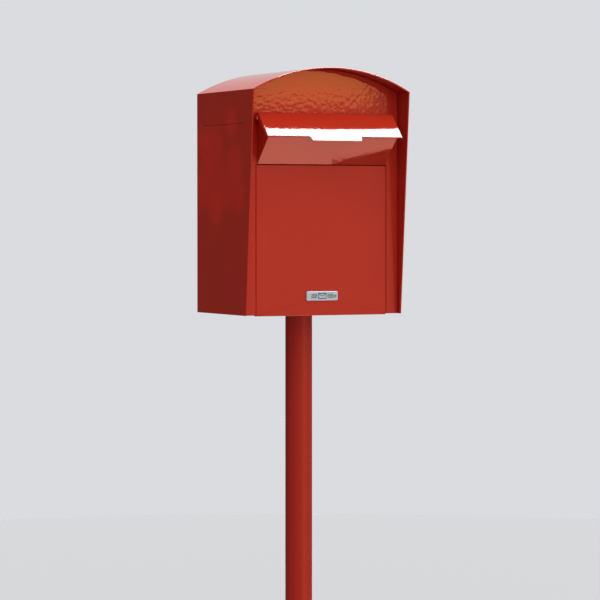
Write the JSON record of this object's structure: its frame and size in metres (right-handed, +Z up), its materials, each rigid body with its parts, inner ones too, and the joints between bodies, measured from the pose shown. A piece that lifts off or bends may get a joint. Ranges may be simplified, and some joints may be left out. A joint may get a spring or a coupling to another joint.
{
  "type": "post mailbox",
  "caption": "Arched sheet steel mailbox on a round post, with a hooded letter flap, a top-hung front door and a swivelling lock cover.",
  "frame": {"origin": "centre of the base plate's underside, on the post's axis", "axes": "+Z up along the post, -Y out of the front of the case, +X to the right of someone who looks at the front"},
  "size_m": [0.3824, 0.3299, 1.34],
  "materials": {
    "enamel": "high-gloss red powder coat with a slight orange peel",
    "post_enamel": "glossy red powder coat",
    "bright_steel": "bright turned steel",
    "zinc": "zinc plated steel",
    "cover_plate": "satin anodised with a dark printed envelope mark",
    "rubber": "matt black EPDM",
    "nylon": "natural nylon"
  },
  "bodies": {
    "case": {"left_side_panel": "enamel", "right_side_panel": "enamel", "roof": "enamel", "back_panel": "enamel", "floor_panel": "enamel", "front_frame": "enamel", "letter_chute": "enamel", "chute_baffle": "enamel", "baffle_rivets": "enamel", "side_rivets": "zinc", "flap_spacers": "nylon", "flap_bumpers": "rubber", "door_bushes": "nylon", "door_seal": "rubber", "lock_keeper": "zinc", "keeper_rivets": "zinc", "floor_doubler": "zinc", "mount_screws": "zinc", "mount_washers": "zinc", "post_head": "zinc", "post_tube": "post_enamel", "base_plate": "post_enamel"},
    "flap": {"letter_flap": "enamel", "flap_pin": "bright_steel"},
    "door": {"door_panel": "enamel", "door_stiffener": "enamel", "door_pins": "zinc", "lock_body": "zinc", "lock_nut": "zinc", "cover_rivet": "bright_steel"},
    "plug": {"lock_plug": "bright_steel", "lock_cam": "zinc", "cam_screw": "zinc"},
    "cover": {"lock_cover": "cover_plate"}
  },
  "joints": [
    {"name": "flap_hinge", "type": "hinge", "parent": "case", "child": "flap", "pos_m": [0, -0.134, 1.23], "axis": [-1, 0, 0], "range_deg": [0, 70]},
    {"name": "door_hinge", "type": "hinge", "parent": "case", "child": "door", "pos_m": [0, -0.112, 1.121], "axis": [-1, 0, 0], "range_deg": [0, 100]},
    {"name": "lock_turn", "type": "hinge", "parent": "door", "child": "plug", "pos_m": [0, -0.11, 0.841], "axis": [0, 1, 0], "range_deg": [0, 90]},
    {"name": "cover_swing", "type": "hinge", "parent": "door", "child": "cover", "pos_m": [0.031, -0.12, 0.841], "axis": [0, 1, 0], "range_deg": [0, 95]}
  ]
}
